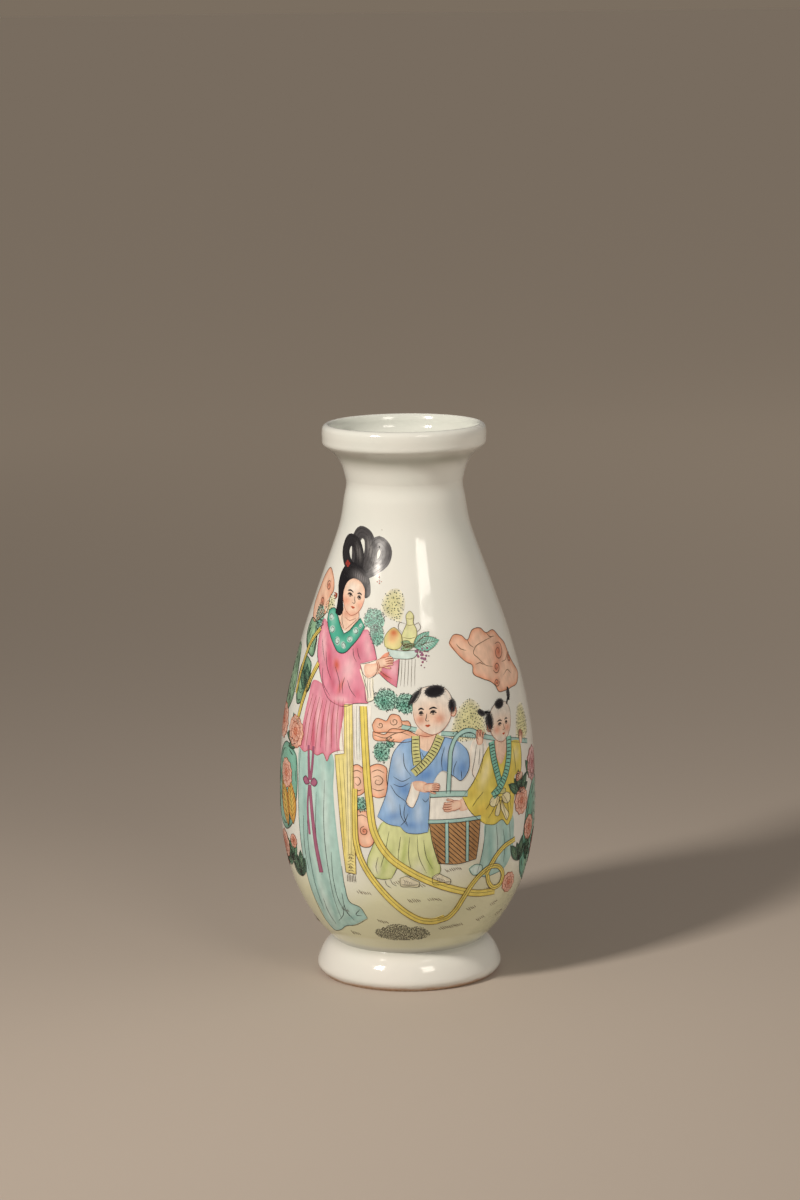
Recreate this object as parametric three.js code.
// A baluster vase of white porcelain with a dish-shaped mouth and a splayed foot, fired in one piece.
// The potter throws it in five sections, turns them true on the wheel and lutes them together with
// slip, flat joint on flat joint. The sizes are those of the fired vase with its glaze.
//
// Millimetres, +Z up along the wheel's axis. The origin is the centre of the ground ring.
import * as THREE from "three";

// Driving dimensions.
const HEIGHT = 250; // from the ground to the crest of the lip
const SEGMENTS = 44; // facets around the axis
const STEPS = 2; // straight pieces between two points of a long curve
const FINE_STEPS = 4; // the same, where a curve is tight

// Heights of the luted seams.
const FOOT_SEAM = 16.2;
const BELLY_SEAM = 84;
const SHOULDER_SEAM = 160;
const MOUTH_SEAM = 225;

// Radii.
const GROUND_OUTER_R = 39.4; // ground ring, outer edge
const GROUND_INNER_R = 33; // ground ring, inner edge
const WAIST_R = 34.4; // groove between foot and body
const BELLY_R = 57.6; // widest part of the body
const SHOULDER_R = 45; // at the shoulder seam
const NECK_R = 26.1; // narrowest part of the neck
const RIM_R = 36.5; // outside of the mouth's upright band
const LIP_R = 34; // crest of the lip

// Thickness of the porcelain.
const WALL = 4.5; // in the body and the neck
const FLOOR = 5; // at the bottom of the inside

// Outlines as [radius, height], from the ground up.
const FOOT_OUTSIDE = [
  [GROUND_OUTER_R, 0],
  [40.9, 1.6],
  [41.7, 4.6],
  [39, 11],
  [WAIST_R, FOOT_SEAM],
];
const FOOT_INSIDE = [
  [GROUND_INNER_R, 0],
  [30, 8],
  [27, FOOT_SEAM],
];
const LOWER_OUTSIDE = [
  [WAIST_R, FOOT_SEAM],
  [WAIST_R + 1.4, 17.8],
  [38.8, 21],
  [44.1, 28],
  [52.1, 44],
  [BELLY_R - 0.6, 68],
  [BELLY_R, BELLY_SEAM],
];
const LOWER_INSIDE = [
  [0, FOOT_SEAM + FLOOR],
  [22, 23],
  [37, 30],
  [47.3, 44],
  [BELLY_R - WALL - 0.6, 68],
  [BELLY_R - WALL, BELLY_SEAM],
];
const UPPER_OUTSIDE = [
  [BELLY_R, BELLY_SEAM],
  [56.4, 110],
  [51.9, 135],
  [SHOULDER_R, SHOULDER_SEAM],
];
const NECK_OUTSIDE = [
  [SHOULDER_R, SHOULDER_SEAM],
  [36.3, 185],
  [29, 206],
  [NECK_R, MOUTH_SEAM],
];
const COVE_OUTSIDE = [
  [NECK_R, MOUTH_SEAM],
  [27.5, 230.6],
  [29.1, 234],
  [31.4, 236.9],
  [RIM_R - 1.3, 240.1],
];
const MOUTH_INSIDE = [
  [NECK_R - WALL, MOUTH_SEAM],
  [22.4, 233.5],
  [27.6, 239.8],
  [31.6, 243.6],
  [32.6, 247.6],
];

const porcelain = { color: 0xeae6dc, roughness: 0.15, metalness: 0 };
const vase = new THREE.Group();

// A smooth curve through [radius, height] points.
function curve(points, steps = STEPS) {
  const spline = new THREE.SplineCurve(points.map(([r, z]) => new THREE.Vector2(r, z)));
  return spline.getPoints((points.length - 1) * steps);
}

// The upright band of the mouth, a little wider at its upper half, rolled over to the lip's crest.
function band() {
  const roll = HEIGHT - 247.4;
  const points = [new THREE.Vector2(RIM_R - 0.2, 241.3), new THREE.Vector2(RIM_R, 243.6)];
  for (const turn of [0, 30, 60]) {
    const angle = THREE.MathUtils.degToRad(turn);
    const r = LIP_R + (RIM_R - LIP_R) * Math.cos(angle);
    points.push(new THREE.Vector2(r, HEIGHT - roll + roll * Math.sin(angle)));
  }
  points.push(new THREE.Vector2(LIP_R, HEIGHT));
  return points;
}

// One thrown section: an outer and an inner outline, both going up, turned about the wheel's axis.
function section(name, outside, inside) {
  const outline = [...outside, ...[...inside].reverse()];
  outline.push(outline[0].clone());
  const geometry = new THREE.LatheGeometry(outline, SEGMENTS);
  geometry.rotateX(Math.PI / 2);
  const mesh = new THREE.Mesh(geometry, new THREE.MeshStandardMaterial(porcelain));
  mesh.name = name;
  vase.add(mesh);
}

// The same outline one wall thickness nearer the axis.
function inward(points) {
  return points.map(([r, z]) => [r - WALL, z]);
}

section("foot_ring", curve(FOOT_OUTSIDE, FINE_STEPS), curve(FOOT_INSIDE));
const base = [new THREE.Vector2(0, FOOT_SEAM), ...curve(LOWER_OUTSIDE)];
section("lower_body", base, curve(LOWER_INSIDE));
section("upper_body", curve(UPPER_OUTSIDE), curve(inward(UPPER_OUTSIDE)));
section("neck", curve(NECK_OUTSIDE), curve(inward(NECK_OUTSIDE)));
section("mouth_rim", [...curve(COVE_OUTSIDE, FINE_STEPS), ...band()], curve(MOUTH_INSIDE));

export default vase;
